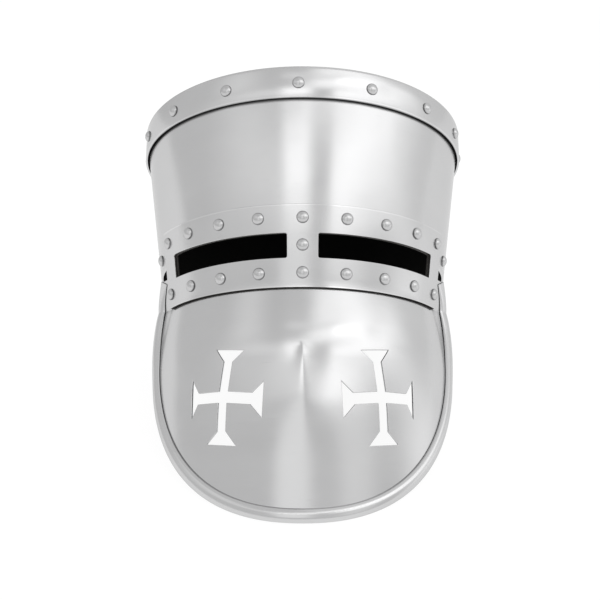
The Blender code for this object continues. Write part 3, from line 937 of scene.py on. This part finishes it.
def rivet_form(name, grip):
    """A domed head with its shank and the clenched end inside."""
    bpy.ops.object.select_all(action="DESELECT")
    bpy.ops.mesh.primitive_uv_sphere_add(
        segments=RIVET_SIDES, ring_count=RIVET_RINGS, radius=RIVET_HEAD_RADIUS,
        location=(0, 0, 0),
    )
    form = start_piece(name)
    shape_piece(form)
    bpy.ops.mesh.select_all(action="SELECT")
    bpy.ops.mesh.bisect(
        plane_co=(0, 0, 0), plane_no=(0, 0, 1), use_fill=True, clear_inner=True
    )
    bpy.ops.mesh.select_all(action="SELECT")
    bpy.ops.transform.resize(
        value=(1, 1, RIVET_HEAD_RISE / RIVET_HEAD_RADIUS), center_override=(0, 0, 0)
    )
    select_where(form, "faces", lambda face: face.normal.z < -0.9)
    bpy.ops.mesh.inset(thickness=RIVET_HEAD_RADIUS - RIVET_SHANK_RADIUS)
    bpy.ops.mesh.extrude_region_move(
        TRANSFORM_OT_translate={"value": (0, 0, -grip - 2 * SEAT)}
    )
    ratio = RIVET_CLENCH_RADIUS / RIVET_SHANK_RADIUS
    bpy.ops.mesh.extrude_region_move(TRANSFORM_OT_translate={"value": (0, 0, 0)})
    bpy.ops.transform.resize(value=(ratio, ratio, 1))
    bpy.ops.mesh.extrude_region_move(
        TRANSFORM_OT_translate={"value": (0, 0, -RIVET_CLENCH_RISE / 2)}
    )
    bpy.ops.transform.resize(value=(0.86, 0.86, 1))
    bpy.ops.mesh.extrude_region_move(
        TRANSFORM_OT_translate={"value": (0, 0, -RIVET_CLENCH_RISE / 2)}
    )
    bpy.ops.transform.resize(value=(0.45, 0.45, 1))
    bpy.ops.mesh.select_all(action="SELECT")
    bpy.ops.mesh.normals_make_consistent(inside=False)
    close_piece()
    # Painted contact shadow, darkest where the head meets the plate and gone halfway up the dome.
    crevice = form.data.attributes.new("crevice", "FLOAT", "POINT")
    for corner in form.data.vertices:
        share = min(max(corner.co.z / (0.5 * RIVET_HEAD_RISE), 0), 1)
        crevice.data[corner.index].value = (1 - share) ** 2
    return form


def crown_frames():
    """Frames of the crown rivets, at even arcs round the cap."""
    angles, arcs = arc_table(CAP_HALF_WIDTH, CAP_HALF_DEPTH)
    frames = []
    for index in range(CROWN_RIVETS):
        share = 2 * index / CROWN_RIVETS
        turned = share if share <= 1 else share - 2
        angle = math.copysign(np.interp(abs(turned) * arcs[-1], arcs, angles), turned)
        angle += CROWN_TURN
        seat = oval_point(CAP_HALF_WIDTH, CAP_HALF_DEPTH, angle, CROWN_ROW)
        along = Vector((CAP_HALF_WIDTH * math.cos(angle), CAP_HALF_DEPTH * math.sin(angle), 0))
        along.normalize()
        normal = Vector((along.y, -along.x, 0))
        made = Matrix((along, Vector((0, 0, 1)), normal)).transposed().to_4x4()
        made.translation = seat
        frames.append(made)
    return frames


def set_rivet(form, node, seat, hand):
    """One copy of a rivet, set at its seat with a little of the hand's unevenness."""
    rivet = bpy.data.objects.new("set_" + node, form.data.copy())
    bpy.context.scene.collection.objects.link(rivet)
    tilt = Matrix.Rotation(math.radians(hand.uniform(-RIVET_TILT, RIVET_TILT)), 4, "X")
    tilt = tilt @ Matrix.Rotation(math.radians(hand.uniform(-RIVET_TILT, RIVET_TILT)), 4, "Y")
    spin = Matrix.Rotation(hand.uniform(0, math.tau), 4, "Z")
    rivet.data.transform(seat @ tilt @ spin)
    give(rivet, rivet_steel)
    complete(rivet, [node])


def row_arcs(pitch):
    return [pitch * (k - (BAND_RIVETS - 1) / 2) for k in range(BAND_RIVETS)]


def make_rivets():
    hand = random.Random(11)
    crown = rivet_form("crown_form", CAP_WALL + SEAT + SKULL_WALL)
    brow = rivet_form("brow_form", SKULL_WALL + band_outer)
    cheek = rivet_form("cheek_form", band_outer - face_inner)
    side = rivet_form("side_form", SKULL_WALL)
    for index, seat in enumerate(crown_frames()):
        set_rivet(crown, f"crown_rivet_{index + 1:02d}", seat, hand)
    for index, arc in enumerate(row_arcs(BROW_PITCH)):
        seat = surface_frame(arc, BROW_ROW, band_outer)
        set_rivet(brow, f"brow_rivet_{index + 1}", seat, hand)
    for index, arc in enumerate(row_arcs(CHEEK_PITCH)):
        seat = surface_frame(arc, CHEEK_ROW, band_outer)
        set_rivet(cheek, f"cheek_rivet_{index + 1}", seat, hand)
    set_rivet(cheek, "nasal_rivet", surface_frame(0.0, NASAL_HEIGHT, band_outer), hand)
    set_rivet(side, "side_rivet_left", surface_frame(-SIDE_RIVET_ARC, SIDE_RIVET_HEIGHT), hand)
    set_rivet(side, "side_rivet_right", surface_frame(SIDE_RIVET_ARC, SIDE_RIVET_HEIGHT), hand)
    for form in (crown, brow, cheek, side):
        bpy.data.objects.remove(form)


# ---- Studio ----

FLOOR_SIZE = 60
FLOOR_GLOW = 0.93
ROOM_LEVEL = 0.76
ROOM_RIGHT_LIFT = 0.14
CAMERA_LENS = 56.68
CAMERA_PLACE = Vector((-0.0007, -0.67779, -0.17394))
CAMERA_RISE = math.radians(13.55)
CAMERA_TURN = math.radians(0.095)
PANEL_DISTANCE = 1.5
PANELS = (
    # name, azimuths, heights, brightness, softness of left, right, lower and upper end
    ("left_glow", -82, -14, 0.19, 0.45, 0.36, 0.80, 0.08, 0.20, 0.15),
    ("left_high", -72, -22, 0.45, 1.15, 0.24, 0.55, 0.50, 0.10, 0.20),
    ("strip", -19, 10.5, 0.185, 0.43, 1.16, 0.30, 0.32, 0.20, 0.12),
    ("strip_high", -18, 6, 0.74, 0.86, 0.70, 0.35, 0.40, 0.25, 0.25),
    ("brow_glow", -5, 74, 0.44, 0.79, 0.86, 0.28, 0.40, 0.10, 0.15),
    ("brow_high", -3, 72, 0.85, 1.25, 0.80, 0.34, 0.50, 0.10, 0.20),
    ("main_box", 18.5, 98, 0.205, 0.47, 1.10, 0.09, 0.84, 0.18, 0.12),
    ("main_high", 22, 98, 0.70, 0.92, 0.98, 0.10, 0.86, 0.25, 0.25),
    ("side_box", 56, 100, 0.42, 0.80, 0.58, 0.30, 0.75, 0.15, 0.15),
    ("cheek_glow", 12, 60, 0.00, 0.23, 0.44, 0.16, 0.55, 0.70, 0.12),
    ("low_strip", -22, 10, -0.70, 0.17, 0.36, 0.24, 0.30, 0.10, 0.12),
    ("low_right", 20, 56, -0.70, 0.13, 0.20, 0.35, 0.45, 0.10, 0.20),
    ("low_side", 64, 122, -0.50, 0.30, 0.36, 0.45, 0.30, 0.10, 0.30),
)


def light_panel(name, left, right, low, high, brightness, *softness):
    """A soft panel round the helm, between two azimuths to the face and two heights."""
    lamp = bpy.data.lights.new(name, "AREA")
    lamp.shape = "RECTANGLE"
    width = 2 * PANEL_DISTANCE * math.tan(math.radians(right - left) / 2)
    lamp.size = width
    lamp.size_y = high - low
    lamp.energy = brightness * width * (high - low) * math.pi
    glow = Finish(lamp)
    spot = glow.node("ShaderNodeNewGeometry", output="Parametric")
    across, up = (
        glow.node("ShaderNodeSeparateXYZ", {}, {0: spot}, output=axis) for axis in (0, 1)
    )
    level = glow.ease(across, 0, softness[0]) * glow.ease(across, 1 - softness[1], 1, 1, 0)
    level = level * glow.ease(up, 0, softness[2]) * glow.ease(up, 1 - softness[3], 1, 1, 0)
    glow.feed("EMISSION", Strength=level)
    panel = bpy.data.objects.new(name, lamp)
    bpy.context.scene.collection.objects.link(panel)
    angle = math.radians((left + right) / 2)
    out = Vector((math.sin(angle), -math.cos(angle), 0))
    place = out * PANEL_DISTANCE + Vector((0, 0, (low + high) / 2))
    facing = out.to_track_quat("Z", "Y").to_matrix().to_4x4()
    panel.matrix_world = helm_place @ Matrix.Translation(place) @ facing
    panel.visible_camera = False


def make_studio():
    bpy.ops.object.select_all(action="DESELECT")
    bpy.ops.mesh.primitive_plane_add(size=FLOOR_SIZE, location=(0, 0, 0))
    floor = start_piece("pale_floor")
    surface = Finish(bpy.data.materials.new("pale_floor"))
    surface.feed("BSDF_PRINCIPLED", Base_Color=(0.12, 0.12, 0.12, 1), Roughness=1.0,
                 Emission_Color=(1, 1, 1, 1), Emission_Strength=FLOOR_GLOW)
    shader = surface.tree.nodes["Principled BSDF"]
    shader.inputs["Specular IOR Level"].default_value = 0.0
    floor.data.materials.append(surface.owner)

    world = bpy.data.worlds.new("studio")
    bpy.context.scene.world = world
    room = Finish(world)
    view = room.node("ShaderNodeTexCoord", {}, {}, output="Generated")
    parts = room.tree.nodes.new("ShaderNodeSeparateXYZ")
    room.tree.links.new(view.link, parts.inputs[0])
    side = Socket(room, parts.outputs["X"])
    front = 0 - Socket(room, parts.outputs["Y"])
    azimuth = side.sum_with("ARCTAN2", side, front)
    level = ROOM_LEVEL + room.ease(azimuth, 0.9, 1.8) * ROOM_RIGHT_LIFT
    seen = room.node("ShaderNodeLightPath", {}, {}, output="Is Camera Ray")
    level = level * (1 - seen) + seen * 1.0
    room.feed("BACKGROUND", Strength=level, Color=(1, 1, 1, 1))

    for panel in PANELS:
        light_panel(*panel)

    camera = bpy.data.cameras.new("photo_camera")
    camera.lens = CAMERA_LENS
    camera.sensor_width = 36
    eye = bpy.data.objects.new("photo_camera", camera)
    bpy.context.scene.collection.objects.link(eye)
    eye.location = helm_place @ CAMERA_PLACE
    eye.rotation_euler = (math.radians(90) + CAMERA_RISE - LEAN, 0, CAMERA_TURN)
    bpy.context.scene.camera = eye
    bpy.context.scene.view_settings.view_transform = "Standard"


make_skull()
make_crown_cap()
make_face_plate()
make_ocular_band()
make_face_rim()
make_rivets()
make_studio()
